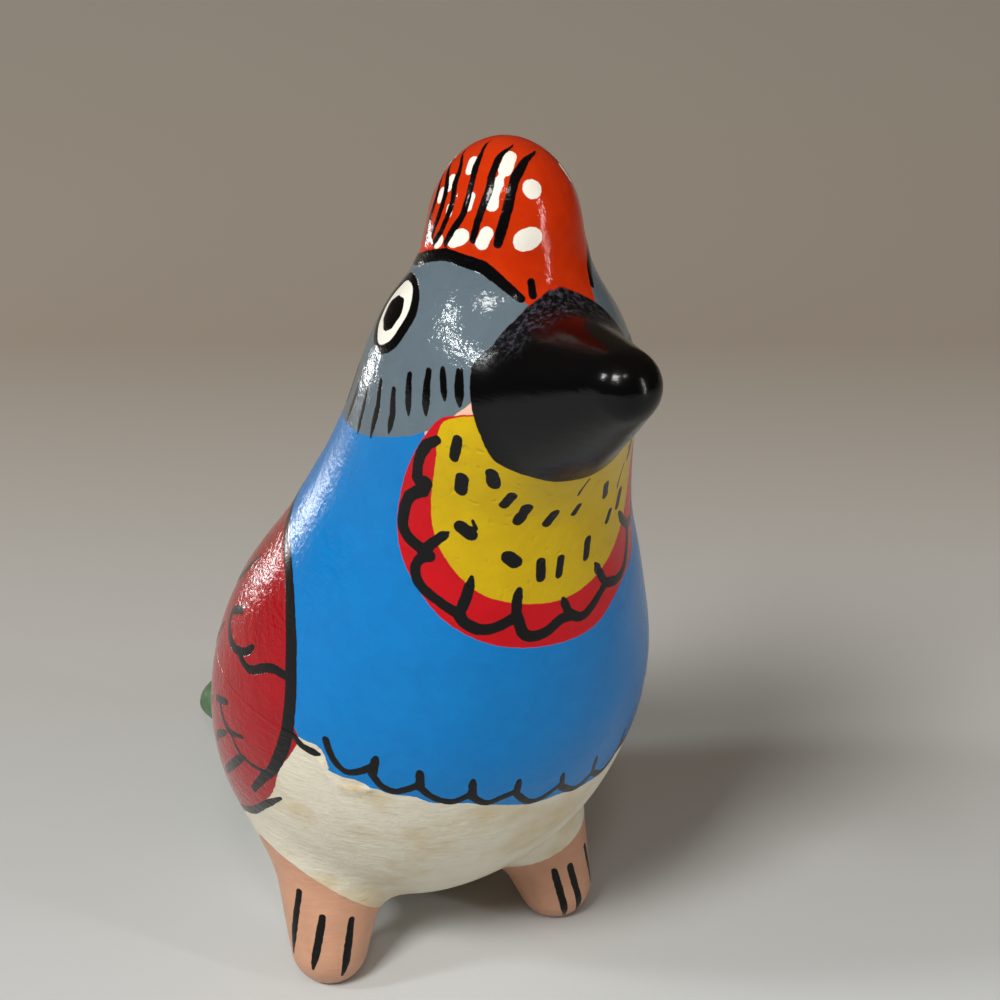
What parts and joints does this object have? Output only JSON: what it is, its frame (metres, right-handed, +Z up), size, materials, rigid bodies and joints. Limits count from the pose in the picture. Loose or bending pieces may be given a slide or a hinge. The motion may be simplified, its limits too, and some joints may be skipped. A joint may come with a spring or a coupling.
{
  "type": "painted clay bird figurine",
  "caption": "Hand-painted clay bird ornament with a domed crest and a thick blunt beak, standing upright on stub legs and its flat tail.",
  "frame": {"origin": "on the surface that the bird stands on, under the middle of its bounding box", "axes": "+Z up, the bird faces -Y, its right wing is at -X"},
  "size_m": [0.0382, 0.0842, 0.0797],
  "materials": {
    "painted_clay": "fired clay, brush-painted in blue, red, yellow, grey, cream and black, under a glossy varnish"
  },
  "bodies": {
    "root": {"clay_bird": "painted_clay"}
  },
  "joints": []
}
